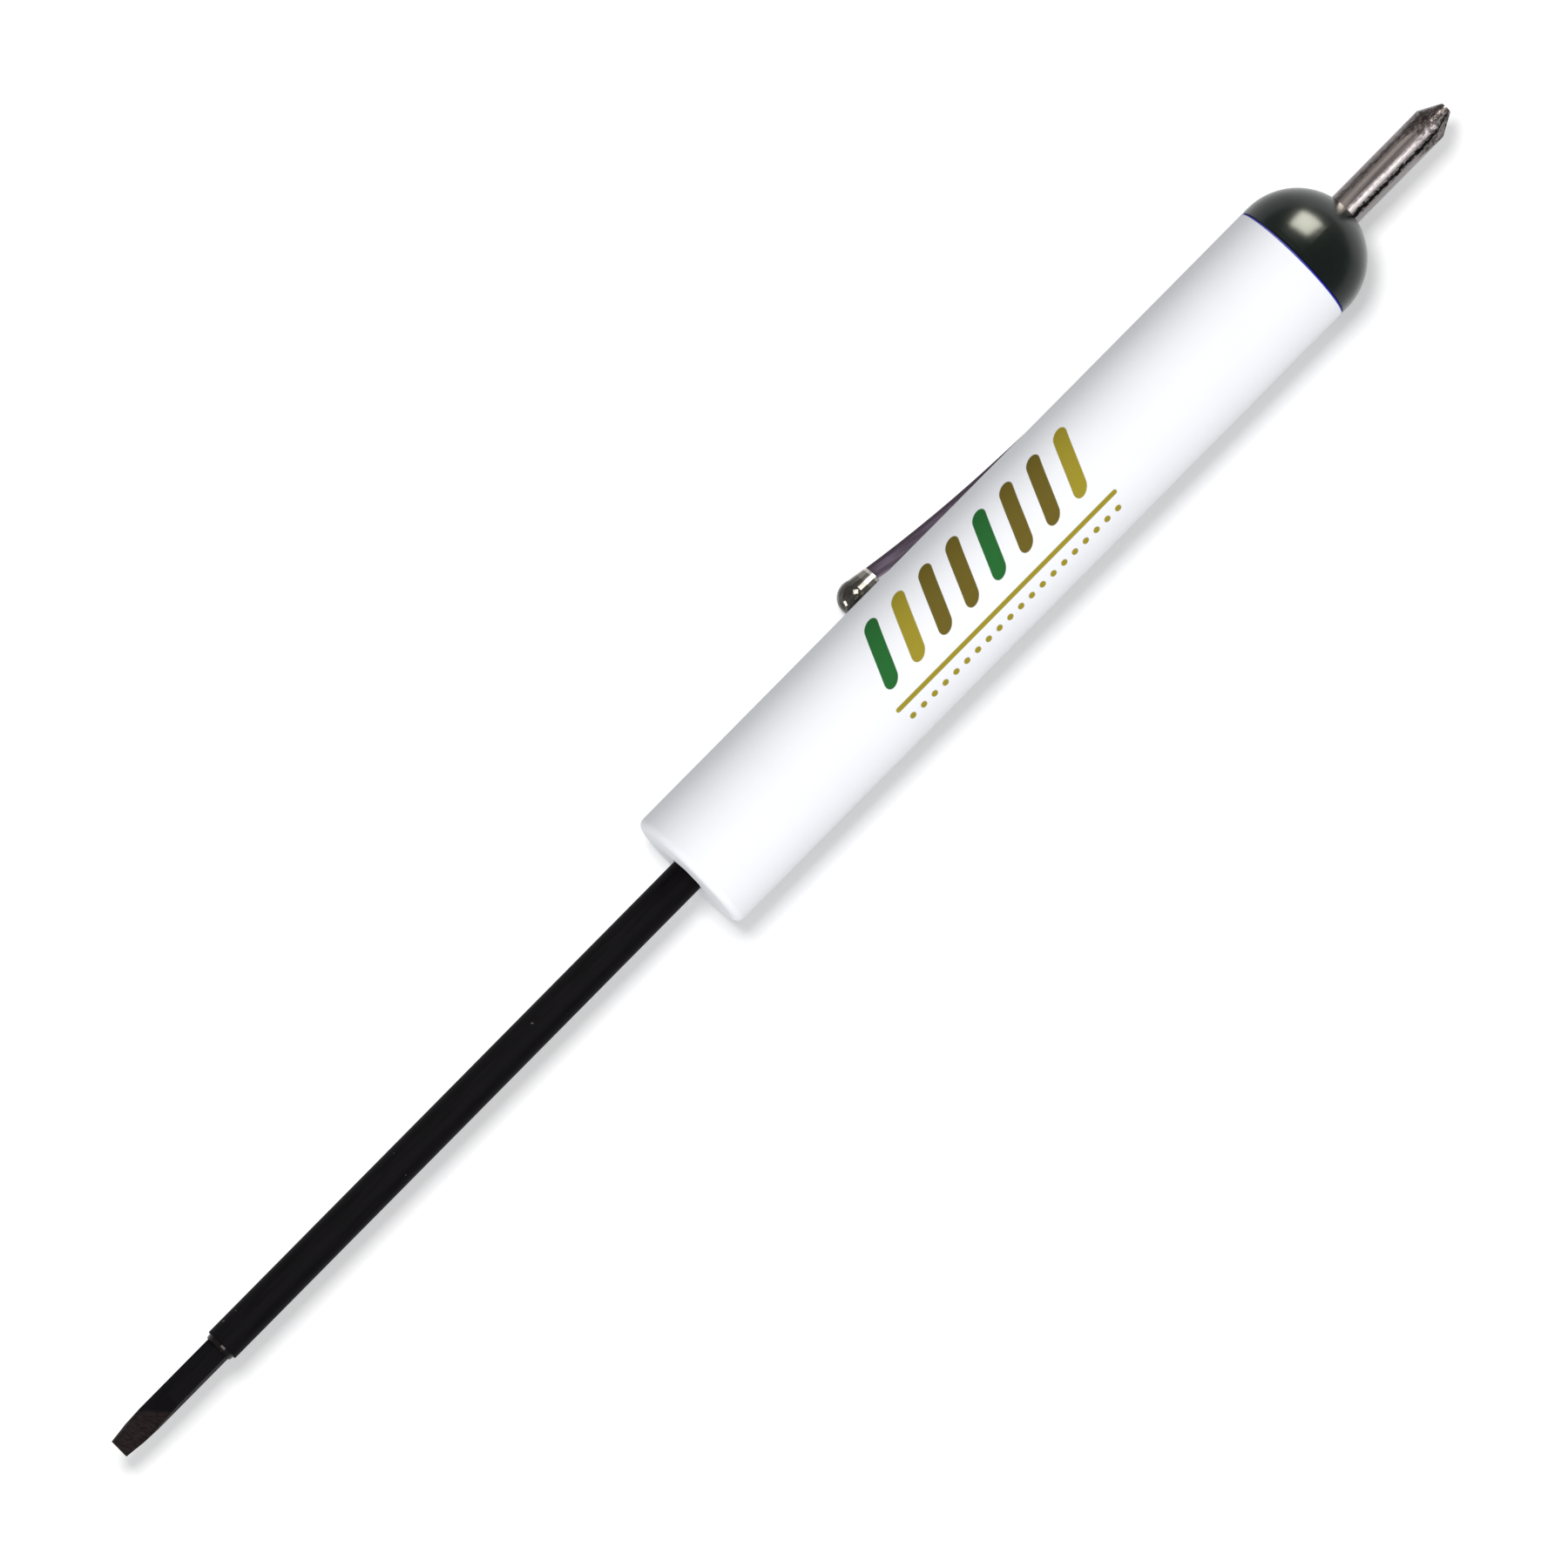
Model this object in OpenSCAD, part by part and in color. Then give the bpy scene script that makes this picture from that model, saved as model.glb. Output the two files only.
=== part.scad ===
// Pocket screwdriver with a domed cap, in millimetres, lying on a table.
// The tool's axis is X: the slotted tip points to -X and the cross point to +X.
// The origin is on that axis at the barrel's nose face, and Z is up.
// The tool rests on its barrel and on the ball of its clip, which is on the +Y side.

/* [Barrel] */
// Outside diameter of the barrel
barrel_d = 11.4; // [10.6:0.1:14]
// Length of the barrel, from its nose face to its joint with the cap
barrel_len = 69.8; // [66:0.2:90]
// Wall of the barrel round its bore
barrel_wall = 1.4; // [1.1:0.1:1.7]
// Thickness of the closed nose
nose_wall = 2.4; // [1.6:0.1:3.6]
// Rounding of the nose's outer edge
nose_round = 0.7; // [0.3:0.05:1.2]
// Rounding of the edges at the joint between barrel and cap
joint_round = 0.15; // [0.05:0.01:0.3]

/* [Cap] */
// Straight skirt under the dome
skirt_len = 0.54; // [0.32:0.02:1.5]
// Width of the keys that stop the cap from turning
key_w = 1.4; // [1:0.1:2]
// Height of those keys over the spigot
key_h = 0.5; // [0.3:0.05:0.7]

/* [Cross blade] */
// Diameter of the cross blade in the cap
cross_d = 3.0; // [2.6:0.1:3.6]
// Length of the cross blade that stands out of the dome
cross_out = 11.55; // [8:0.05:16]
// Length of the cross blade's root inside the cap
cross_in = 10.5; // [8:0.1:12]
// Length of the four flutes
flute_len = 5.1; // [4:0.1:6.5]
// Length of the point's cone
cone_len = 1.85; // [1.6:0.05:2.6]
// Diameter of the point's blunt end
point_d = 1.0; // [0.5:0.05:1.1]
// Width across the two ears of the root
ear_w = 4.3; // [3.8:0.1:5]
// Thickness of the ears
ear_t = 0.9; // [0.6:0.1:1.3]
// Length of the ears along the blade
ear_len = 3; // [2:0.1:4]
// Turn of the cross blade about the tool's axis, in degrees
cross_turn = 12; // [0:1:90]

/* [Shaft] */
// Outside diameter of the round sleeve
sleeve_d = 3.0; // [2.95:0.05:3.4]
// Length of the sleeve in front of the nose
sleeve_len = 53.3; // [45:0.1:70]
// Width across flats of the sleeve's hexagonal root
root_flats = 2.9; // [2.75:0.05:3.3]
// Length of the root, from the nose face inwards
root_len = 14; // [10:0.5:20]
// Outside diameter of the collar in the sleeve's mouth
collar_d = 2.66; // [2.6:0.02:2.68]
// Depth of the collar's seat in the mouth
collar_in = 1.1; // [0.8:0.1:1.6]
// Length of the collar that stands out of the mouth
collar_out = 0.4; // [0.3:0.05:0.6]

/* [Reversible blade] */
// Width across flats of the blade's hexagonal bar
blade_flats = 2.05; // [1.9:0.01:2.08]
// Whole length of the blade
blade_len = 45; // [34:0.5:52]
// Length of the blade that stands out of the mouth
blade_out = 11.7; // [8:0.1:14]
// Width of the slotted tip
tip_w = 1.65; // [1.2:0.05:1.9]
// Thickness of the slotted tip
tip_t = 0.45; // [0.3:0.05:0.6]
// Length over which the tip's sides narrow
tip_taper = 3.4; // [2:0.1:5]
// Length of the two hollow ground faces
grind_len = 5.8; // [4:0.1:7.5]
// Turn of the blade about the tool's axis, in degrees
blade_turn = 18; // [0:1:60]
// Diameter of the hidden cross point at the blade's other end
small_d = 1.9; // [1.6:0.05:1.95]
// Length that is turned down to that diameter
small_len = 7; // [5:0.1:9]

/* [Holder] */
// Diameter of the holder's middle tube
core_d = 5.2; // [4.4:0.1:6]
// Thickness of the holder's fins and end discs
fin_t = 1.3; // [0.9:0.1:1.8]
// Solid floor behind the root
floor_t = 3; // [2:0.1:5]
// Width of the barrel's two inner ribs that key the holder
rib_w = 1.2; // [0.8:0.1:1.8]
// Height of those ribs
rib_h = 0.7; // [0.4:0.05:0.9]

/* [Clip] */
// Thickness of the spring strip
strip_t = 0.35; // [0.25:0.05:0.5]
// Width of the strip at its root
strip_w = 2.1; // [1.8:0.1:3]
// Width of the strip where it leaves the ball end
neck_w = 1.7; // [1.2:0.1:1.8]
// Length over which the strip narrows
strip_taper = 13; // [8:0.5:20]
// Diameter of the ball end
ball_d = 3.1; // [2.8:0.1:3.6]
// Diameter of the ball end where the strip leaves it
neck_d = 2.3; // [2.1:0.05:2.5]
// Length of the ball end from the ball's middle to there
neck_len = 2.3; // [2:0.1:3]
// Height of the ball over the strip's outer face
ball_proud = 0.3; // [0.26:0.02:0.5]
// Place of the ball behind the nose face
ball_x = 25.9; // [18:0.1:32]
// Place where the strip starts to lift off the barrel
lift_x = 48.2; // [44:0.1:54]
// Distance of the clip's slot from the joint with the cap
slot_back = 8.8; // [7.5:0.1:10]
// Length of the foot that the cap traps
foot_len = 2; // [1.2:0.1:3]
// Inner radius of the strip's bends
bend_in = 0.3; // [0.2:0.05:0.4]

/* [Fits] */
// Clearance all round pieces that are fixed in their seats
seat_gap = 0.02; // [0.01:0.01:0.04]
// Running clearance of the blade in the sleeve
run_gap = 0.03; // [0.02:0.01:0.05]
// Gap between the clip and the barrel at rest
clip_gap = 0.1; // [0.06:0.02:0.2]
// Play of the clip's leg in the barrel's slot
slot_play = 0.15; // [0.12:0.01:0.25]
// Play of the clip's foot in the cap's groove
foot_play = 0.35; // [0.3:0.05:0.5]

/* [Hidden] */
$fn = 96;
// One overrun serves every cut that has to pass a face
overrun = 1;
// A hexagon's corner radius is its half width over flats divided by this
hex_share = cos(30);
// A V groove of a cross point opens this many degrees to each side
flute_half_angle = 46;
// The circles of the strip's long bend need many sides
bend_sides = 1440;

barrel_r = barrel_d / 2;
bore_r = barrel_r - barrel_wall;
spigot_r = bore_r - seat_gap;

dome_x = barrel_len + skirt_len;
dome_top_x = dome_x + barrel_r;
slot_x = barrel_len - slot_back;
// The spigot stops just behind the clip's leg, so that its groove takes only the foot
spigot_x = slot_x + strip_t / 2 + bend_in + slot_play;

cross_r = cross_d / 2;
cross_tip_x = dome_top_x + cross_out;
cross_root_x = dome_top_x - cross_in;

sleeve_r = sleeve_d / 2;
collar_r = collar_d / 2;
mouth_x = -sleeve_len;
// The rounding of the mouth follows the collar that stands out of it
mouth_round_share = 0.25;
mouth_round = collar_out * mouth_round_share;

blade_r = blade_flats / 2 / hex_share;
collar_bore_r = blade_r + run_gap;
// The collar's chamfer takes half of its wall and half of the length that stands out
collar_wall = collar_r - collar_bore_r;
tip_x = mouth_x - blade_out;
blade_end_x = tip_x + blade_len;
bore_flats = blade_flats + 2 * run_gap;
// The wheel that grinds the tip hollow leaves the tip's thickness and runs out at full depth
grind_depth = (blade_flats - tip_t) / 2;
wheel_r = (grind_len * grind_len + grind_depth * grind_depth) / (2 * grind_depth);
// The small cross point is the large one's shape at its own diameter
small_share = small_d / cross_d;
// The flutes come this near to the axis at a point's blunt end, as a share of its radius
flute_floor_share = 0.75;

// The ribs are rooted in the barrel's wall and in its nose by this much
rib_sink = barrel_wall / 2;
rib_foot_r = bore_r + rib_sink;
holder_r = bore_r - seat_gap;
holder_x = nose_wall + seat_gap;
holder_end_x = root_len + floor_t;

strip_in_r = barrel_r + clip_gap;
ball_r = ball_d / 2;
ball_axis_r = strip_in_r + ball_r;
neck_r = neck_d / 2;
// The neck's cone starts in the ball's middle, at this share of the ball's radius
neck_root_share = 0.985;
// The ball and the barrel touch the table together at this turn from straight down
clip_turn = acos((barrel_r - ball_r) / ball_axis_r);
clip_run = lift_x - ball_x;
clip_rise = ball_d - strip_t - ball_proud;
clip_bend_r = (clip_run * clip_run + clip_rise * clip_rise) / (2 * clip_rise);
// The foot's outer corners clear the round bore
foot_out_r = sqrt(bore_r * bore_r - strip_w * strip_w / 4) - clip_gap;
hinge_r = bore_r + barrel_wall / 2;

echo(clip_turn = clip_turn, slot_x = slot_x, hinge_r = hinge_r);
echo(clip_axis = [0, -cos(clip_turn), -sin(clip_turn)]);
echo(hinge_place = [slot_x, hinge_r * sin(clip_turn), -hinge_r * cos(clip_turn)]);
echo(tip_x = tip_x, blade_end_x = blade_end_x, cross_tip_x = cross_tip_x);

// Turns a piece made along Z so that it lies along X with its seam on top, off the table
module along_x() {
    rotate([180, 0, 0]) rotate([0, 90, 0]) children();
}

// A round bar between two places on the axis
module rod(r, from_x, to_x) {
    translate([from_x, 0, 0]) along_x() cylinder(r = r, h = to_x - from_x);
}

// A hexagonal bar with two corners in the plane of the blade's width
module hex_rod(flats, from_x, to_x) {
    translate([from_x, 0, 0])
        rotate([blade_turn, 0, 0])
        along_x()
        rotate([0, 0, 90])
        cylinder(r = flats / 2 / hex_share, h = to_x - from_x, $fn = 6);
}

// The outline of a turned bar, which is rounded at its start and at its end
module turned_outline(r, length, start_round, end_round) {
    translate([0, start_round]) square([r, length - start_round - end_round]);
    square([r - start_round, length - end_round]);
    translate([0, start_round]) square([r - end_round, length - start_round]);
    if (start_round > 0) translate([r - start_round, start_round]) circle(r = start_round);
    if (end_round > 0) translate([r - end_round, length - end_round]) circle(r = end_round);
}

// A round bar whose two edges are rounded
module rounded_rod(r, from_x, to_x, from_round, to_round) {
    translate([from_x, 0, 0])
        along_x()
        rotate_extrude()
        turned_outline(r, to_x - from_x, from_round, to_round);
}

// Four V grooves that meet near the axis at the point and run out at the bar's surface
module cross_flutes(bar_r, end_r, length, point_x) {
    start_x = point_x - length;
    slope = atan((bar_r - end_r) / length);
    depth = bar_r + overrun;
    spread = depth * tan(flute_half_angle);
    for (turn = [45:90:315])
        rotate([turn, 0, 0])
            translate([start_x, 0, bar_r])
            rotate([0, 90 + slope, 0])
            linear_extrude(height = length + overrun)
            polygon([[0, 0], [-depth, spread], [-depth, -spread]]);
}

// A pointed cross blade along X, before its root is shaped
module cross_bar(bar_r, end_r, cone, flutes, from_x, point_x) {
    difference() {
        along_x() rotate_extrude() polygon([
            [0, from_x],
            [bar_r, from_x],
            [bar_r, point_x - cone],
            [end_r, point_x],
            [0, point_x]
        ]);
        cross_flutes(bar_r, end_r * flute_floor_share, flutes, point_x);
    }
}

// The cross blade with its two ears, grown by a gap where it is cut from the cap
module cross_root(gap) {
    rod(cross_r + gap, cross_root_x - gap, dome_top_x + overrun);
    rotate([cross_turn, 0, 0])
        translate([cross_root_x + ear_len / 2, -ear_w / 2 - gap, -ear_t / 2 - gap])
        cube([ear_len + gap, ear_w + 2 * gap, ear_t + 2 * gap]);
}

// Places a piece drawn with its radius along Y into the clip's direction
module to_clip_side() {
    rotate([clip_turn - 90, 0, 0]) children();
}

// The two ribs inside the barrel's front end, grown by a gap where the holder clears them
module holder_ribs(gap) {
    for (turn = [0, 180])
        rotate([turn, 0, 0])
            translate([nose_wall - rib_sink, -rib_w / 2 - gap, bore_r - rib_h - gap])
            cube([holder_end_x - nose_wall + rib_sink + gap, rib_w + 2 * gap, barrel_r - bore_r + rib_h]);
}

// The two keys on the cap's spigot, up to a place, grown by a gap where the barrel clears them
module cap_keys(gap, end_x) {
    for (turn = [90, 270])
        rotate([turn + clip_turn, 0, 0])
            translate([spigot_x - gap, -key_w / 2 - gap, 0])
            cube([end_x - spigot_x + gap, key_w + 2 * gap, bore_r + key_h + gap]);
}

module barrel() {
    color("white") {
        difference() {
            rounded_rod(barrel_r, 0, barrel_len, nose_round, joint_round);
            rod(bore_r, nose_wall, barrel_len + overrun);
            hex_rod(root_flats + 2 * seat_gap, -overrun, nose_wall + overrun);
            difference() {
                cap_keys(seat_gap, barrel_len + overrun);
                rod(bore_r / 2, spigot_x - overrun, barrel_len + 2 * overrun);
            }
            to_clip_side()
                translate([slot_x - strip_t / 2 - slot_play, 0, -strip_w / 2 - slot_play])
                cube([strip_t + 2 * slot_play, barrel_r + overrun, strip_w + 2 * slot_play]);
        }
        intersection() {
            holder_ribs(0);
            rod(rib_foot_r, 0, holder_end_x + overrun);
        }
    }
}

module dome_cap() {
    color([0.09, 0.13, 0.12]) difference() {
        union() {
            along_x() rotate_extrude() {
                translate([0, dome_x]) intersection() {
                    circle(r = barrel_r);
                    square(barrel_r + overrun);
                }
                translate([0, barrel_len]) turned_outline(barrel_r, skirt_len, joint_round, 0);
            }
            rod(spigot_r, spigot_x, barrel_len + skirt_len / 2);
            cap_keys(0, barrel_len + skirt_len / 4);
        }
        cross_root(seat_gap);
        to_clip_side()
            translate([spigot_x - overrun, foot_out_r - strip_t - foot_play, -strip_w / 2 - foot_play])
            cube([foot_len + bend_in + overrun + foot_play, bore_r, strip_w + 2 * foot_play]);
    }
}

module phillips_blade() {
    color([0.68, 0.66, 0.67]) {
        rotate([cross_turn, 0, 0])
            cross_bar(cross_r, point_d / 2, cone_len, flute_len, cross_root_x, cross_tip_x);
        rotate([cross_turn, 0, 0])
            translate([cross_root_x + ear_len / 2, -ear_w / 2, -ear_t / 2])
            cube([ear_len, ear_w, ear_t]);
    }
}

// The strip seen from its edge: X along the tool, Y its distance from the tool's axis
module strip_outline() {
    leg_x = slot_x - strip_t / 2;
    translate([lift_x, strip_in_r + strip_t + clip_bend_r]) intersection() {
        difference() {
            circle(r = clip_bend_r + strip_t, $fn = bend_sides);
            circle(r = clip_bend_r, $fn = bend_sides);
        }
        translate([-clip_run, -clip_bend_r - strip_t]) square([clip_run, clip_rise + strip_t]);
    }
    translate([lift_x, strip_in_r]) square([leg_x - bend_in - lift_x, strip_t]);
    translate([leg_x - bend_in, strip_in_r - bend_in]) quarter_bend();
    translate([leg_x, foot_out_r + bend_in])
        square([strip_t, strip_in_r - foot_out_r - 2 * bend_in]);
    translate([leg_x + strip_t + bend_in, foot_out_r + bend_in]) rotate(180) quarter_bend();
    translate([leg_x + strip_t + bend_in, foot_out_r - strip_t])
        square([foot_len - strip_t - bend_in, strip_t]);
}

// A quarter turn of the strip about a bend's centre
module quarter_bend() {
    intersection() {
        difference() {
            circle(r = bend_in + strip_t);
            circle(r = bend_in);
        }
        square(bend_in + strip_t + overrun);
    }
}

// The strip seen from outside: narrow at the ball, wide at the root
module strip_plan() {
    neck_x = ball_x + neck_len;
    taper_end = neck_x + strip_taper;
    polygon([
        [ball_x - overrun, -neck_w / 2],
        [neck_x, -neck_w / 2],
        [taper_end, -strip_w / 2],
        [barrel_len, -strip_w / 2],
        [barrel_len, strip_w / 2],
        [taper_end, strip_w / 2],
        [neck_x, neck_w / 2],
        [ball_x - overrun, neck_w / 2]
    ]);
}

// The formed end: a ball that draws in to a neck towards the strip
module ball_end() {
    sphere(r = ball_r);
    along_x() cylinder(r1 = ball_r * neck_root_share, r2 = neck_r, h = neck_len);
}

module pocket_clip() {
    color([0.62, 0.57, 0.62]) to_clip_side() {
        intersection() {
            translate([0, 0, -strip_w / 2]) linear_extrude(height = strip_w) strip_outline();
            rotate([-90, 0, 0]) linear_extrude(height = barrel_r + 2 * ball_d) strip_plan();
        }
        translate([ball_x, ball_axis_r, 0]) ball_end();
    }
}

module shaft_sleeve() {
    color([0.08, 0.08, 0.09]) difference() {
        union() {
            rounded_rod(sleeve_r, mouth_x, 0, mouth_round, 0);
            hex_rod(root_flats, 0, root_len);
        }
        hex_rod(bore_flats, mouth_x - overrun, root_len + overrun);
        rod(collar_r + seat_gap, mouth_x - overrun, mouth_x + collar_in);
    }
}

module retaining_collar() {
    color([0.75, 0.75, 0.76]) along_x() rotate_extrude() polygon([
        [collar_bore_r, mouth_x - collar_out],
        [collar_bore_r + collar_wall / 2, mouth_x - collar_out],
        [collar_r, mouth_x - collar_out / 2],
        [collar_r, mouth_x + collar_in - seat_gap],
        [collar_bore_r, mouth_x + collar_in - seat_gap]
    ]);
}

module reversible_blade() {
    color([0.1, 0.09, 0.1]) difference() {
        intersection() {
            hex_rod(blade_flats, tip_x, blade_end_x);
            union() {
                rod(blade_r + overrun, tip_x - overrun, blade_end_x - small_len);
                rotate([blade_turn, 0, 0]) cross_bar(
                    small_d / 2,
                    point_d / 2 * small_share,
                    cone_len * small_share,
                    flute_len * small_share,
                    blade_end_x - small_len - overrun,
                    blade_end_x
                );
            }
        }
        rotate([blade_turn, 0, 0]) for (side = [-1, 1]) {
            translate([tip_x, 0, side * (tip_t / 2 + wheel_r)])
                rotate([90, 0, 0])
                cylinder(r = wheel_r, h = 2 * blade_flats, center = true, $fn = bend_sides);
            translate([0, 0, -blade_flats]) linear_extrude(height = 2 * blade_flats) polygon([
                [tip_x - overrun, side * tip_w / 2],
                [tip_x, side * tip_w / 2],
                [tip_x + tip_taper, side * blade_r],
                [tip_x + tip_taper, side * 2 * blade_r],
                [tip_x - overrun, side * 2 * blade_r]
            ]);
        }
    }
}

// The holder's core, end discs and crossed fins, before they are cut to the bore's round
module holder_web() {
    rod(core_d / 2, holder_x - overrun, holder_end_x + overrun);
    rod(barrel_r, holder_x - overrun, holder_x + fin_t);
    rod(barrel_r, holder_end_x - fin_t, holder_end_x + overrun);
    for (turn = [45, 135])
        rotate([turn, 0, 0])
            translate([holder_x - overrun, -barrel_r, -fin_t / 2])
            cube([holder_end_x - holder_x + 2 * overrun, barrel_d, fin_t]);
}

module shaft_holder() {
    color([0.86, 0.86, 0.84]) difference() {
        intersection() {
            rod(holder_r, holder_x, holder_end_x);
            holder_web();
        }
        hex_rod(root_flats + 2 * seat_gap, 0, root_len + seat_gap);
        holder_ribs(seat_gap);
    }
}

module thrust_rod() {
    color([0.45, 0.45, 0.47])
        hex_rod(blade_flats + 2 * run_gap - 2 * seat_gap, blade_end_x + run_gap, root_len);
}

barrel();
dome_cap();
phillips_blade();
pocket_clip();
shaft_sleeve();
retaining_collar();
reversible_blade();
shaft_holder();
thrust_rod();
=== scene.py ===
"""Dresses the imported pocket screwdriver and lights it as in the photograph. Lengths are in metres."""

import math

import bpy
import numpy as np
from mathutils import Matrix, Vector


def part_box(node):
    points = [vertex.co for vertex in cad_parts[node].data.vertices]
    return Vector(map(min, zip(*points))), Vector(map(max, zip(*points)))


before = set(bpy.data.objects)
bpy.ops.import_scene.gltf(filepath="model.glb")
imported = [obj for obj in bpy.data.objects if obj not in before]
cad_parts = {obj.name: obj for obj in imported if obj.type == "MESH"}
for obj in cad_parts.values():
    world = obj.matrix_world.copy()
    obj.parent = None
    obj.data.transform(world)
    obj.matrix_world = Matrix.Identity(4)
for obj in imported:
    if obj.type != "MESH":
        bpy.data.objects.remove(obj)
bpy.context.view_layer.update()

MM = 0.001
MATH = "ShaderNodeMath"

# Places taken from the frame
BARREL_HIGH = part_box("barrel")[1]
BARREL_R = BARREL_HIGH.z
BARREL_LENGTH = BARREL_HIGH.x
TIP_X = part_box("reversible_blade")[0].x
FLOOR_Z = -BARREL_R
FLOOR_HALF_WIDTH = 3.0
# The floor's own light to the camera
FLOOR_LIFT = 0.3
ROOM_STRENGTH = 0.5

# The photograph: 1800 pixels wide, at this many pixels to the millimetre where the tool lies
PHOTO_WIDTH_PX = 1800
PX_PER_MM = 14.25
# The point of the tool's axis that lies in the middle of the photograph
PHOTO_CENTRE = Vector((10.7 * MM, -0.4 * MM, 0))
# The camera looks down and leans a little towards the slotted tip, so that the nose face just shows
CAMERA_LEAN_DEG = 5.0
# The tool's axis rises to the right in the photograph by this angle
AXIS_RISE_DEG = 45.31
SENSOR_MM = 36
LENS_MM = 400

# The print on the barrel, in mm: along the tool from the nose, and round the barrel from its top
PRINT_START_X = 21.0
PRINT_EDGE = 0.03
BAR_PITCH = 3.1
BAR_COUNT = 8
BAR_HALF_WIDTH = 0.75
BAR_HALF_LENGTH = 2.1
BAR_MIDDLE = 1.6
BAR_SLANT = 0.45
LINE_LENGTH = 24.8
LINE_PLACE = -2.9
LINE_HALF_WIDTH = 0.22
DOT_PITCH = 1.24
DOT_PLACE = -4.3
DOT_R = 0.3
GREEN_INK = "#286b33"
GOLD_INK = "#a2932f"
BROWN_INK = "#6e6024"
BAR_INKS = (GREEN_INK, GOLD_INK, BROWN_INK, BROWN_INK, GREEN_INK, BROWN_INK, BROWN_INK, GOLD_INK)
# Gloss of the bare moulding, and of the flat ink on it
BARE_GLOSS = 0.25
INK_GLOSS = 0.03
# Width in mm and colour of the painted shadow line, tinted blue, where the barrel meets the cap
JOINT_LINE = 0.19
JOINT_PAINTED_SHADOW = "#1a20a8"
# The dome gets wetter between these distances from the barrel's end, in mm
POLISH_START = 3.0
POLISH_END = 5.5

# The cross blade's plate in four shades, for its painted reflection bands
PLATE_PAINTED_HIGHLIGHT = "#a09a9a"
PLATE_GREY = "#6e6868"
PLATE_PAINTED_DARK_REFLECTION = "#3a3434"
PLATE_PAINTED_BLACK_REFLECTION = "#181515"
# Its painted reflection bands: a painted black line beside a painted bright strip, and a thinner painted dark
# line on the other side. Each is a shade at some degrees round the bar from its top towards +Y, starting
# underneath
PAINTED_REFLECTION_BANDS = (
    (-180, PLATE_GREY), (-90, PLATE_GREY), (-45, PLATE_PAINTED_HIGHLIGHT), (-40, PLATE_PAINTED_BLACK_REFLECTION), (-30, PLATE_PAINTED_BLACK_REFLECTION),
    (-25, PLATE_PAINTED_HIGHLIGHT), (-15, PLATE_PAINTED_HIGHLIGHT), (0, PLATE_GREY), (35, PLATE_GREY), (45, PLATE_PAINTED_DARK_REFLECTION),
    (55, PLATE_GREY), (90, PLATE_PAINTED_HIGHLIGHT))
# How far the painted reflection bands wander, as a share of the way round
REFLECTION_BAND_WANDER = 0.03
# The milled flutes run out here, over this length, in mm
FLUTE_START_X = 83.2
FLUTE_RUN_OUT = 1.2
# How much the cutter's marks and the fine die lines darken the plate
CUTTER_MARK_SHARE = 0.75
DIE_LINE_SHARE = 0.22

# The strip leaves the clip's ball end here, in mm; the neck's painted highlight and the shank lie before it
BALL_END_X = 28.2
BALL_END_EDGE = 0.05
NECK_BACK = 0.15
NECK_HALF_WIDTH = 0.13
SHANK_LENGTH = 1.0
SHANK_EDGE = 0.1
# Painted highlight across the neck
NECK_PAINTED_HIGHLIGHT = "#f1ece6"
# Painted shade on the strip's upper edge
UPPER_EDGE_PAINTED_SHADE = "#4a404a"
# The two shades of each part of the clip, which the rolling lines run between: plain nickel outside, and
# painted reflections inside, on the ball and on its shank
CLIP_SHADES = {
    "inside": ("#8f7f90", "#b8a7ba"),
    "outside": ("#918e8d", "#bdb9b8"),
    "ball": ("#403e3a", "#605e58"),
    "shank": ("#635f5a", "#86817b"),
}
# The way that the clip stands off the barrel, and its width's way up
CLIP_OUTWARD = (0.0, 0.825347, -0.564626)
CLIP_UPWARD = (0.0, 0.564626, 0.825347)

# Length of the brown grinding from the slotted tip, its soft edge and that edge's slant, in mm
GRIND_LENGTH = 4.4
GRIND_EDGE = 0.4
GRIND_SLANT = 0.9
# Height of the fine marks on every surface
MARK_HEIGHT = 0.02 * MM

# Square lamps: name, direction from the tool, distance, side, watts, and the pieces that it is kept to
# (INCLUDE) or off (EXCLUDE). In order: the light from above, the lamp of the floor's shadow, the light on
# the nose face, the window that shows on the dome, and two that make the spots on the clip's ball.
LAMPS = (
    ("overhead_softbox", (0.0, -0.34, 0.94), 0.7, 0.4, 2.75, "EXCLUDE", ("floor_sheet", "dome_cap")),
    ("shadow_lamp", (0.0, 0.25, 0.97), 0.7, 0.17, 3.0, "INCLUDE", ("floor_sheet",)),
    ("nose_card", (-0.985, -0.05, 0.16), 0.5, 0.2, 0.75, "INCLUDE", ("barrel",)),
    ("window_card", (0.74, 0.42, 0.52), 0.5, 0.28, 8.0, "EXCLUDE", ("floor_sheet", "pocket_clip")),
    ("clip_side_card", (-0.95, 0.29, 0.08), 0.5, 0.2, 2.0, "INCLUDE", ("pocket_clip",)),
    ("clip_top_card", (0.36, 0.42, 0.77), 0.5, 0.24, 1.7, "INCLUDE", ("pocket_clip",)),
)
WINDOW_TURN_DEG = 60
WINDOW_COLOUR = (1.0, 0.97, 0.86)


def linear(hex_colour):
    """One sRGB hex colour as the four linear values that a shader takes."""
    values = np.array([int(hex_colour[i:i + 2], 16) for i in (1, 3, 5)]) / 255
    low = values / 12.92
    high = ((values + 0.055) / 1.055) ** 2.4
    return (*np.where(values <= 0.04045, low, high).tolist(), 1.0)


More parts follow.
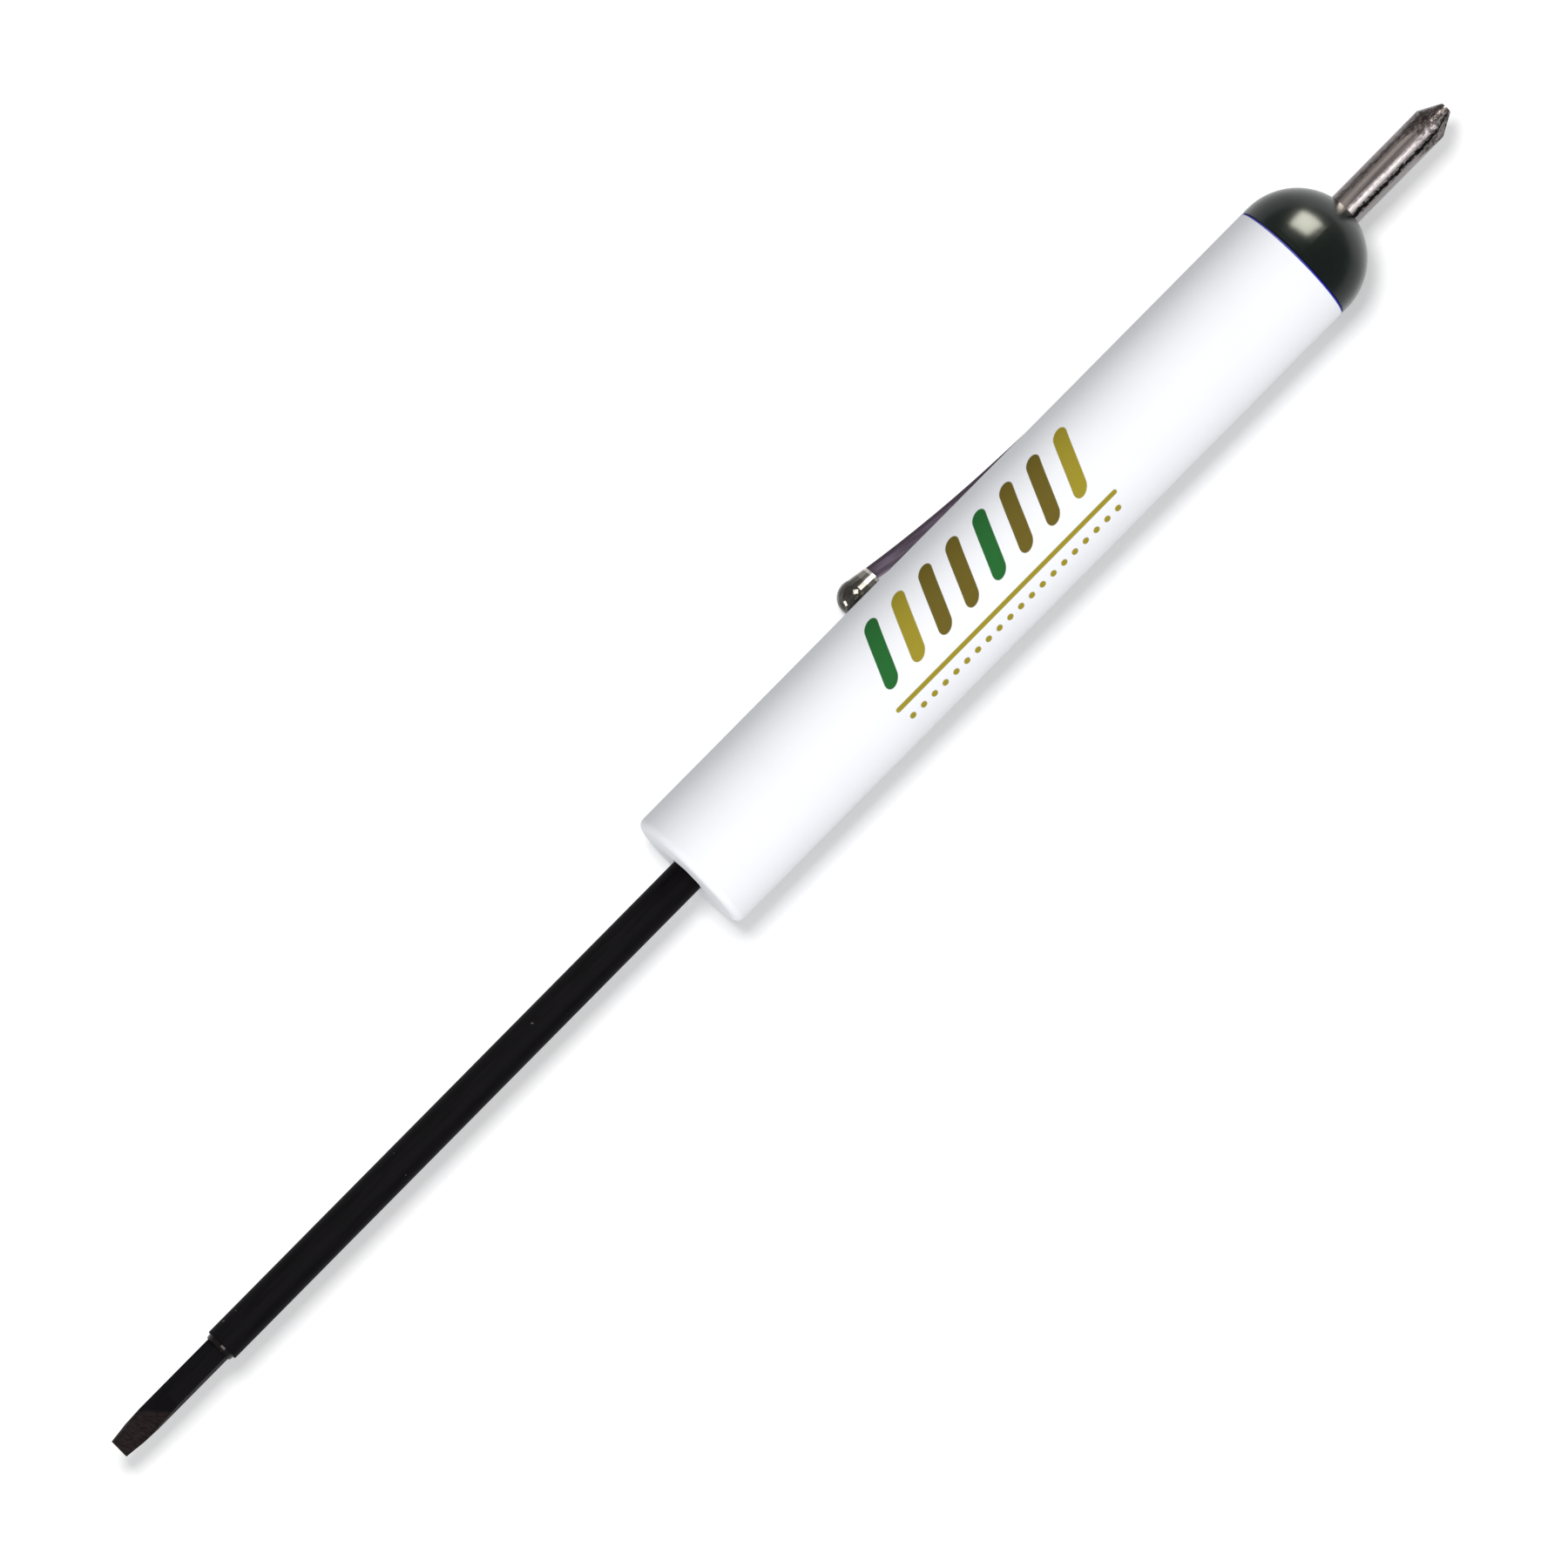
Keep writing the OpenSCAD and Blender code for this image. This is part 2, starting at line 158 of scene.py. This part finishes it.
def add_node(tree, kind, *values, **more):
    """Adds one node with its settings and links.

    The values fill its inputs in order. A name in lower case is a setting of the node, one with a
    capital is an input, and _6 is the input of that number. A value is a number, a colour, a socket,
    or a node, which stands for its first output.
    """
    node = tree.nodes.new(kind)
    inputs = dict(enumerate(values))
    for name, value in more.items():
        if name[0].islower():
            setattr(node, name, value)
        elif name[0] == "_":
            inputs[int(name[1:])] = value
        else:
            inputs[name.replace("_", " ")] = value
    for key, value in inputs.items():
        if isinstance(value, bpy.types.Node):
            value = value.outputs[0]
        if isinstance(value, bpy.types.NodeSocket):
            tree.links.new(value, node.inputs[key])
        else:
            node.inputs[key].default_value = value
    return node


def new_material(name, **shader_values):
    """A material with its tree, its one Principled shader and its Object coordinates in millimetres."""
    material = bpy.data.materials.new(name)
    material.use_nodes = True
    tree = material.node_tree
    shader = tree.nodes["Principled BSDF"]
    for key, value in shader_values.items():
        shader.inputs[key.replace("_", " ")].default_value = value
    place = add_node(tree, "ShaderNodeTexCoord").outputs["Object"]
    in_mm = add_node(tree, "ShaderNodeVectorMath", place, Scale=1 / MM, operation="SCALE")
    return material, tree, shader, in_mm.outputs[0]


def dress(node, material):
    """Gives a CAD node its one material."""
    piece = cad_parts[node]
    piece.data.materials.clear()
    piece.data.materials.append(material)


def lay_marks(tree, shader, tint, marks, smooth, rough, strength):
    """Gives a surface its tint, and lets its fine marks change its roughness and stand up a little."""
    roughness = add_node(tree, "ShaderNodeMapRange", Value=marks, To_Min=smooth, To_Max=rough)
    bump = add_node(tree, "ShaderNodeBump", Height=marks, Strength=strength, Distance=MARK_HEIGHT)
    tree.links.new(tint, shader.inputs["Base Color"])
    tree.links.new(roughness.outputs[0], shader.inputs["Roughness"])
    tree.links.new(bump.outputs[0], shader.inputs["Normal"])


def edge_cover(tree, distance):
    """How much ink, or painted shadow at the joint, there is, from the distance in mm to a shape's edge,
    which is negative inside it.
    """
    return add_node(tree, "ShaderNodeMapRange", Value=distance, From_Min=-PRINT_EDGE, From_Max=PRINT_EDGE,
                    To_Min=1.0, To_Max=0.0)


def stroke_distance(tree, across, lengthwise, half_length, half_width):
    """Distance to a straight stroke with round ends, from a place's two distances to its middle."""
    from_middle = add_node(tree, MATH, lengthwise, operation="ABSOLUTE")
    beyond = add_node(tree, MATH, from_middle, half_length, operation="SUBTRACT")
    past_end = add_node(tree, MATH, 0.0, beyond, operation="MAXIMUM")
    squared = add_node(tree, MATH, past_end, 2.0, operation="POWER")
    squares = add_node(tree, MATH, across, across, squared, operation="MULTIPLY_ADD")
    from_line = add_node(tree, MATH, squares, operation="SQRT")
    return add_node(tree, MATH, from_line, half_width, operation="SUBTRACT")


def outside_row(tree, place, middle, half_length):
    """1 past either end of a row, and 0 within it."""
    aside = add_node(tree, MATH, place, middle, operation="SUBTRACT")
    from_middle = add_node(tree, MATH, aside, operation="ABSOLUTE")
    return add_node(tree, MATH, from_middle, half_length, operation="GREATER_THAN")


def bar_distance(tree, along, around):
    """Distance to a row of slanted bars with round ends, and the number of the bar from 0 to 1.

    The row is cut into cells of one pitch along a slanted line, with one bar in the middle of each.
    """
    from_start = add_node(tree, MATH, along, PRINT_START_X, operation="SUBTRACT")
    slanted = add_node(tree, MATH, around, -BAR_SLANT, from_start, operation="MULTIPLY_ADD")
    pitches = add_node(tree, MATH, slanted, BAR_PITCH, operation="DIVIDE")
    cell = add_node(tree, MATH, pitches, operation="FLOOR")
    cell_middle = add_node(tree, MATH, cell, 0.5, operation="ADD")
    across = add_node(tree, MATH, cell_middle, -BAR_PITCH, slanted, operation="MULTIPLY_ADD")
    lengthwise = add_node(tree, MATH, around, BAR_MIDDLE, operation="SUBTRACT")
    distance = stroke_distance(tree, across, lengthwise, BAR_HALF_LENGTH, BAR_HALF_WIDTH)
    outside = outside_row(tree, cell, (BAR_COUNT - 1) / 2, BAR_COUNT / 2)
    number = add_node(tree, MATH, cell_middle, BAR_COUNT, operation="DIVIDE")
    return add_node(tree, MATH, distance, outside, operation="ADD"), number


def line_distance(tree, along, around):
    """Distance to one thin line with round ends under the bars."""
    across = add_node(tree, MATH, around, LINE_PLACE, operation="SUBTRACT")
    lengthwise = add_node(tree, MATH, along, PRINT_START_X + LINE_LENGTH / 2, operation="SUBTRACT")
    return stroke_distance(tree, across, lengthwise, LINE_LENGTH / 2, LINE_HALF_WIDTH)


def dot_distance(tree, along, around):
    """Distance to a row of dots under the line: the place along the row is wrapped at each dot's pitch."""
    from_start = add_node(tree, MATH, along, PRINT_START_X, operation="SUBTRACT")
    wrapped = add_node(tree, MATH, from_start, 0.0, DOT_PITCH, operation="WRAP")
    lengthwise = add_node(tree, MATH, wrapped, DOT_PITCH / 2, operation="SUBTRACT")
    across = add_node(tree, MATH, around, DOT_PLACE, operation="SUBTRACT")
    distance = stroke_distance(tree, across, lengthwise, 0.0, DOT_R)
    outside = outside_row(tree, from_start, LINE_LENGTH / 2, LINE_LENGTH / 2)
    return add_node(tree, MATH, distance, outside, operation="ADD")


def printed_barrel():
    """Injection moulded white polystyrene with a pad print.

    The moulding is a clean cool white under a soft gloss, faintly uneven. The print gives the eye a
    row of slanted bars in green, gold and browns, with a thin line and dots below it in gold.
    """
    material, tree, shader, place = new_material(
        "printed_white_styrene", IOR=1.5, Specular_IOR_Level=BARE_GLOSS)
    mottle = add_node(tree, "ShaderNodeTexNoise", Vector=place, Scale=0.25, Detail=3.0)
    tint = add_node(tree, "ShaderNodeMix", _0=mottle, _6=linear("#f4f6fb"), _7=linear("#fafbff"),
                    data_type="RGBA").outputs[2]
    grain = add_node(tree, "ShaderNodeTexNoise", Vector=place, Scale=9.0, Detail=4.0)
    split = add_node(tree, "ShaderNodeSeparateXYZ", place)
    along = split.outputs["X"]
    turn = add_node(tree, MATH, split.outputs["Y"], split.outputs["Z"], operation="ARCTAN2")
    around = add_node(tree, MATH, turn, BARREL_R / MM, operation="MULTIPLY")
    bars, number = bar_distance(tree, along, around)
    inks = add_node(tree, "ShaderNodeValToRGB", number)
    inks.color_ramp.interpolation = "CONSTANT"
    stops = inks.color_ramp.elements
    stops.remove(stops[1])
    stops[0].color = linear(BAR_INKS[0])
    for i, ink_or_shadow in enumerate(BAR_INKS[1:], 1):
        stops.new(i / BAR_COUNT).color = linear(ink_or_shadow)
    bar_cover = edge_cover(tree, bars)
    line = line_distance(tree, along, around)
    dots = dot_distance(tree, along, around)
    gold_cover = add_node(tree, MATH, edge_cover(tree, line), edge_cover(tree, dots), operation="MAXIMUM")
    # Painted shadow: a thin dark blue line round the barrel's end where it meets the cap
    from_joint = add_node(tree, MATH, BARREL_LENGTH / MM - JOINT_LINE, along, operation="SUBTRACT")
    joint_shadow_cover = edge_cover(tree, from_joint)
    for cover, ink_or_shadow in ((bar_cover, inks), (gold_cover, linear(GOLD_INK)), (joint_shadow_cover, linear(JOINT_PAINTED_SHADOW))):
        tint = add_node(tree, "ShaderNodeMix", _0=cover, _6=tint, _7=ink_or_shadow, data_type="RGBA").outputs[2]
    inked = add_node(tree, MATH, bar_cover, gold_cover, operation="MAXIMUM")
    gloss = add_node(tree, MATH, inked, INK_GLOSS - BARE_GLOSS, BARE_GLOSS, operation="MULTIPLY_ADD")
    tree.links.new(gloss.outputs[0], shader.inputs["Specular IOR Level"])
    lay_marks(tree, shader, tint, grain, 0.5, 0.62, 0.03)
    return material


def green_styrene():
    """Moulded polystyrene of a green so deep that it looks black, wettest round the top of the dome.

    Faint flow marks change its gloss a little.
    """
    material, tree, shader, place = new_material(
        "green_black_styrene", IOR=1.5, Specular_Tint=linear("#f2f6f0"))
    flow = add_node(tree, "ShaderNodeTexNoise", Vector=place, Scale=0.5, Detail=3.0)
    tint = add_node(tree, "ShaderNodeMix", _0=flow, _6=linear("#04110e"), _7=linear("#0b1f1a"),
                    data_type="RGBA")
    rough = add_node(tree, "ShaderNodeMapRange", Value=flow, To_Min=0.19, To_Max=0.27)
    along = add_node(tree, "ShaderNodeSeparateXYZ", place).outputs["X"]
    polish = add_node(tree, "ShaderNodeMapRange", Value=along, From_Min=BARREL_LENGTH / MM + POLISH_START,
                      From_Max=BARREL_LENGTH / MM + POLISH_END, To_Min=0.27, To_Max=0.62)
    tree.links.new(polish.outputs[0], shader.inputs["Specular IOR Level"])
    tree.links.new(tint.outputs[2], shader.inputs["Base Color"])
    tree.links.new(rough.outputs[0], shader.inputs["Roughness"])
    return material


def streaks(tree, place, share_along, fineness, low, high):
    """Long die lines along the tool, as a factor whose contrast is stretched between low and high."""
    lines = add_node(tree, "ShaderNodeMapping", Vector=place, Scale=(share_along, 1.0, 1.0))
    drawn = add_node(tree, "ShaderNodeTexNoise", Vector=lines, Scale=fineness, Detail=5.0)
    return add_node(tree, "ShaderNodeMapRange", Value=drawn, From_Min=low, From_Max=high)


def cross_blade_plate():
    """Nickel over a drawn bar, with a warm grey tint: a painted bright strip and painted dark reflection
    lines run along it.

    The painted reflection bands are laid round the bar by the angle about its axis, which fine noise makes
    ragged. Fine die lines darken it a little, and dark cutter marks cross the milled flutes.
    """
    material, tree, shader, place = new_material("nickel_on_drawn_bar", Metallic=1.0)
    split = add_node(tree, "ShaderNodeSeparateXYZ", place)
    turn = add_node(tree, MATH, split.outputs["Y"], split.outputs["Z"], operation="ARCTAN2")
    way_round = add_node(tree, MATH, turn, 0.5 / math.pi, 0.5, operation="MULTIPLY_ADD")
    fine = streaks(tree, place, 0.03, 4.5, 0.32, 0.62)
    chatter = streaks(tree, place, 0.6, 5.0, 0.35, 0.65)
    wander = add_node(tree, MATH, chatter, 0.5, operation="SUBTRACT")
    ragged = add_node(tree, MATH, wander, REFLECTION_BAND_WANDER, way_round, operation="MULTIPLY_ADD")
    # Painted reflection: bright and dark bands laid round the bar
    painted_reflections = add_node(tree, "ShaderNodeValToRGB", ragged)
    stops = painted_reflections.color_ramp.elements
    stops[0].color = stops[1].color = linear(PAINTED_REFLECTION_BANDS[0][1])
    for degrees, shade in PAINTED_REFLECTION_BANDS[1:]:
        stops.new(0.5 + degrees / 360).color = linear(shade)
    cut = add_node(tree, "ShaderNodeMapping", Vector=place, Scale=(1.0, 2.2, 2.2), Rotation=(0, 0, 0.5))
    hatch = add_node(tree, "ShaderNodeTexNoise", Vector=cut, Scale=2.2, Detail=4.0)
    hatched = add_node(tree, "ShaderNodeMapRange", Value=hatch, From_Min=0.48, From_Max=0.53)
    milled = add_node(tree, "ShaderNodeMapRange", Value=split.outputs["X"], From_Min=FLUTE_START_X,
                      From_Max=FLUTE_START_X + FLUTE_RUN_OUT)
    cutter_marks = add_node(tree, MATH, milled, hatched, operation="MULTIPLY")
    dark_marks = add_node(tree, MATH, cutter_marks, CUTTER_MARK_SHARE, operation="MULTIPLY")
    faint_lines = add_node(tree, MATH, fine, DIE_LINE_SHARE, operation="MULTIPLY")
    dull = add_node(tree, MATH, faint_lines, dark_marks, operation="MAXIMUM")
    tint = add_node(tree, "ShaderNodeMix", _0=dull, _6=painted_reflections, _7=linear("#292425"), data_type="RGBA")
    lay_marks(tree, shader, tint.outputs[2], fine, 0.2, 0.36, 0.3)
    return material


def facing(tree, direction):
    """How far a face turns to one direction of the piece's own space, as a factor from 0 to 1."""
    normal = add_node(tree, "ShaderNodeTexCoord").outputs["Normal"]
    share = add_node(tree, "ShaderNodeVectorMath", normal, direction, operation="DOT_PRODUCT")
    return add_node(tree, "ShaderNodeMapRange", Value=share.outputs["Value"], From_Min=0.6, From_Max=0.8)


def clip_plate():
    """Bright plate on the spring, a plain grey on the strip's outside, with painted reflections: a painted
    dark green-grey reflection on the polished ball end, a lighter painted one on its shank, and a painted
    highlight across the neck.

    The strip's inside has a painted violet-grey reflection and its upper edge painted shade.
    """
    material, tree, shader, place = new_material("nickel_on_spring", Metallic=1.0)
    rolled = streaks(tree, place, 0.1, 1.6, 0.4, 0.6)
    shades = {}
    for part, (low, high) in CLIP_SHADES.items():
        shades[part] = add_node(tree, "ShaderNodeMix", _0=rolled, _6=linear(low), _7=linear(high),
                                data_type="RGBA").outputs[2]
    along = add_node(tree, "ShaderNodeSeparateXYZ", place).outputs["X"]
    past_neck = add_node(tree, "ShaderNodeMapRange", Value=along, From_Min=BALL_END_X - BALL_END_EDGE,
                         From_Max=BALL_END_X + BALL_END_EDGE)
    # Painted highlight: a bright band across the neck
    at_neck = add_node(tree, MATH, along, BALL_END_X - NECK_BACK, NECK_HALF_WIDTH, operation="COMPARE")
    neck_highlight = add_node(tree, MATH, at_neck, rolled, operation="MULTIPLY")
    shank_x = BALL_END_X - SHANK_LENGTH
    shank = add_node(tree, "ShaderNodeMapRange", Value=along, From_Min=shank_x - SHANK_EDGE,
                     From_Max=shank_x + SHANK_EDGE)
    # The strip: a painted violet-grey reflection inside, plain nickel outside, painted shade on its upper
    # edge
    strip = shades["inside"]
    for cover, shade in ((facing(tree, CLIP_OUTWARD), shades["outside"]),
                         (facing(tree, CLIP_UPWARD), linear(UPPER_EDGE_PAINTED_SHADE))):
        strip = add_node(tree, "ShaderNodeMix", _0=cover, _6=strip, _7=shade, data_type="RGBA").outputs[2]
    # The ball end: a painted dark green-grey reflection, a lighter painted one on the shank, the neck's
    # painted highlight
    tint = shades["ball"]
    for cover, shade in ((shank, shades["shank"]), (neck_highlight, linear(NECK_PAINTED_HIGHLIGHT)), (past_neck, strip)):
        tint = add_node(tree, "ShaderNodeMix", _0=cover, _6=tint, _7=shade, data_type="RGBA").outputs[2]
    rough = add_node(tree, "ShaderNodeMapRange", Value=past_neck, To_Min=0.12, To_Max=0.5)
    bump = add_node(tree, "ShaderNodeBump", Height=rolled, Strength=0.1, Distance=MARK_HEIGHT)
    tree.links.new(tint, shader.inputs["Base Color"])
    tree.links.new(rough.outputs[0], shader.inputs["Roughness"])
    tree.links.new(bump.outputs[0], shader.inputs["Normal"])
    return material


def lined_steel(name, dark, light, smooth, rough):
    """Bare steel, turned or drawn: lines half a millimetre apart run along it and catch the light."""
    material, tree, shader, place = new_material(name, Metallic=1.0)
    lines = add_node(tree, "ShaderNodeMapping", Vector=place, Scale=(0.05, 2.0, 2.0))
    drawn = add_node(tree, "ShaderNodeTexNoise", Vector=lines, Scale=1.0, Detail=5.0)
    tint = add_node(tree, "ShaderNodeMix", _0=drawn, _6=linear(dark), _7=linear(light), data_type="RGBA")
    lay_marks(tree, shader, tint.outputs[2], drawn, smooth, rough, 0.25)
    return material


def black_oxide(name):
    """Blackened steel: a dead black oiled skin with fine drawing lines and a few bare scuffs like dust.

    Returns the material, its tree, its shader, its place and its colour, for a finish to go over it.
    """
    material, tree, shader, place = new_material(name, IOR=1.5, Specular_IOR_Level=0.04)
    drawn = streaks(tree, place, 0.1, 3.0, 0.3, 0.7)
    skin = add_node(tree, "ShaderNodeMix", _0=drawn, _6=linear("#080709"), _7=linear("#100d12"),
                    data_type="RGBA").outputs[2]
    dust = add_node(tree, "ShaderNodeTexNoise", Vector=place, Scale=1.4, Detail=1.0)
    bare = add_node(tree, "ShaderNodeMapRange", Value=dust, From_Min=0.775, From_Max=0.8)
    tint = add_node(tree, "ShaderNodeMix", _0=bare, _6=skin, _7=linear("#6a6259"),
                    data_type="RGBA").outputs[2]
    lay_marks(tree, shader, tint, drawn, 0.5, 0.65, 0.2)
    return material, tree, shader, place, tint


def ground_blade():
    """The blackened blade: the grinding of its slotted tip shows brown through the black."""
    material, tree, shader, place, skin = black_oxide("black_oxide_blade")
    split = add_node(tree, "ShaderNodeSeparateXYZ", place)
    turned = add_node(tree, "ShaderNodeMapping", Vector=place, Rotation=(0, 0, 1.2))
    wheel = streaks(tree, turned, 0.15, 7.0, 0.35, 0.65)
    brown = add_node(tree, "ShaderNodeMix", _0=wheel, _6=linear("#161112"), _7=linear("#2b2222"),
                     data_type="RGBA").outputs[2]
    border = add_node(tree, MATH, split.outputs["Y"], GRIND_SLANT, split.outputs["X"],
                      operation="MULTIPLY_ADD")
    grind_end = TIP_X / MM + GRIND_LENGTH
    past_grind = add_node(tree, "ShaderNodeMapRange", Value=border, From_Min=grind_end - GRIND_EDGE,
                          From_Max=grind_end)
    tint = add_node(tree, "ShaderNodeMix", _0=past_grind, _6=brown, _7=skin, data_type="RGBA")
    tree.links.new(tint.outputs[2], shader.inputs["Base Color"])
    return material


def natural_nylon():
    """Moulded natural nylon: a milky off-white with a dull skin."""
    material, tree, shader, place = new_material("natural_nylon", IOR=1.53)
    cloud = add_node(tree, "ShaderNodeTexNoise", Vector=place, Scale=0.6, Detail=2.0)
    tint = add_node(tree, "ShaderNodeMix", _0=cloud, _6=linear("#dedbd0"), _7=linear("#ebe8de"),
                    data_type="RGBA")
    rough = add_node(tree, "ShaderNodeMapRange", Value=cloud, To_Min=0.45, To_Max=0.6)
    tree.links.new(tint.outputs[2], shader.inputs["Base Color"])
    tree.links.new(rough.outputs[0], shader.inputs["Roughness"])
    return material


def paper_floor():
    """The white sheet under the tool: a matt white that keeps the shadow, lifted to white for the camera."""
    material, tree, shader, _ = new_material("white_paper", Roughness=0.9)
    shader.inputs["Emission Color"].default_value = linear("#fdfeff")
    ray = add_node(tree, "ShaderNodeLightPath")
    seen = add_node(tree, MATH, ray.outputs["Is Camera Ray"], ray.outputs["Is Glossy Ray"],
                    operation="MAXIMUM")
    tint = add_node(tree, "ShaderNodeMix", _0=seen, _6=linear("#9c9d9e"), _7=linear("#e6e6e7"),
                    data_type="RGBA")
    lift = add_node(tree, MATH, seen, FLOOR_LIFT, operation="MULTIPLY")
    tree.links.new(tint.outputs[2], shader.inputs["Base Color"])
    tree.links.new(lift.outputs[0], shader.inputs["Emission Strength"])
    return material


def photo_camera():
    """A long lens over the tool, turned so that the tool's axis lies across the picture as photographed."""
    lean = math.radians(CAMERA_LEAN_DEG)
    rise = math.radians(AXIS_RISE_DEG)
    back = Vector((-math.sin(lean), 0, math.cos(lean)))
    along = (Vector((1, 0, 0)) - back * back.x).normalized()
    across = back.cross(along)
    right = math.cos(rise) * along - math.sin(rise) * across
    up = math.sin(rise) * along + math.cos(rise) * across
    data = bpy.data.cameras.new("photo_camera")
    data.sensor_width = SENSOR_MM
    data.lens = LENS_MM
    view_width = PHOTO_WIDTH_PX / PX_PER_MM * MM
    distance = view_width * LENS_MM / SENSOR_MM
    data.clip_start = 0.1 * distance
    data.clip_end = 10 * distance
    camera = bpy.data.objects.new("photo_camera", data)
    camera.matrix_world = Matrix.Translation(PHOTO_CENTRE + back * distance) @ Matrix(
        (right, up, back)).transposed().to_4x4()
    bpy.context.scene.collection.objects.link(camera)
    bpy.context.scene.camera = camera


def soft_lamp(name, towards, distance, side, watts):
    """A square studio lamp that shines on the middle of the tool from a direction."""
    data = bpy.data.lights.new(name, "AREA")
    data.shape = "SQUARE"
    data.size = side
    data.energy = watts
    lamp = bpy.data.objects.new(name, data)
    direction = Vector(towards).normalized()
    lamp.location = PHOTO_CENTRE + direction * distance
    lamp.rotation_euler = direction.to_track_quat("Z", "Y").to_euler()
    bpy.context.scene.collection.objects.link(lamp)
    return lamp


def share_light(lamp, state, pieces):
    """Keeps a lamp to some pieces, or off them."""
    group = bpy.data.collections.new(lamp.name + "_share")
    lamp.light_linking.receiver_collection = group
    for i, piece in enumerate(pieces):
        group.objects.link(piece)
        group.collection_objects[i].light_linking.link_state = state


def floor_sheet():
    """A flat square sheet just under the tool."""
    mesh = bpy.data.meshes.new("floor_sheet")
    corners = np.array([(-1, -1), (1, -1), (1, 1), (-1, 1)]) * FLOOR_HALF_WIDTH
    corners = np.column_stack([corners, np.full(4, FLOOR_Z)])
    mesh.from_pydata(corners.tolist(), [], [(0, 1, 2, 3)])
    mesh.materials.append(paper_floor())
    sheet = bpy.data.objects.new("floor_sheet", mesh)
    bpy.context.scene.collection.objects.link(sheet)
    return sheet


def white_room():
    """An even white surround."""
    world = bpy.data.worlds.new("white_room")
    bpy.context.scene.world = world
    world.use_nodes = True
    back = world.node_tree.nodes["Background"]
    back.inputs["Color"].default_value = linear("#ffffff")
    back.inputs["Strength"].default_value = ROOM_STRENGTH


dress("barrel", printed_barrel())
dress("dome_cap", green_styrene())
dress("phillips_blade", cross_blade_plate())
dress("pocket_clip", clip_plate())
dress("shaft_sleeve", black_oxide("black_oxide_tube")[0])
dress("reversible_blade", ground_blade())
dress("retaining_collar", lined_steel("dark_turned_steel", "#1b191a", "#3a3735", 0.1, 0.18))
dress("shaft_holder", natural_nylon())
dress("thrust_rod", lined_steel("bright_drawn_steel", "#8d8e90", "#b5b6b8", 0.2, 0.35))

bpy.context.scene.view_settings.view_transform = "Standard"
photo_camera()
lit = dict(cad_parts, floor_sheet=floor_sheet())
white_room()
lamps = {}
for name, towards, distance, side, watts, state, pieces in LAMPS:
    lamps[name] = soft_lamp(name, towards, distance, side, watts)
    share_light(lamps[name], state, [lit[piece] for piece in pieces])
window = lamps["window_card"]
window.rotation_euler.rotate_axis("Z", math.radians(WINDOW_TURN_DEG))
window.data.color = WINDOW_COLOUR
window.visible_diffuse = False
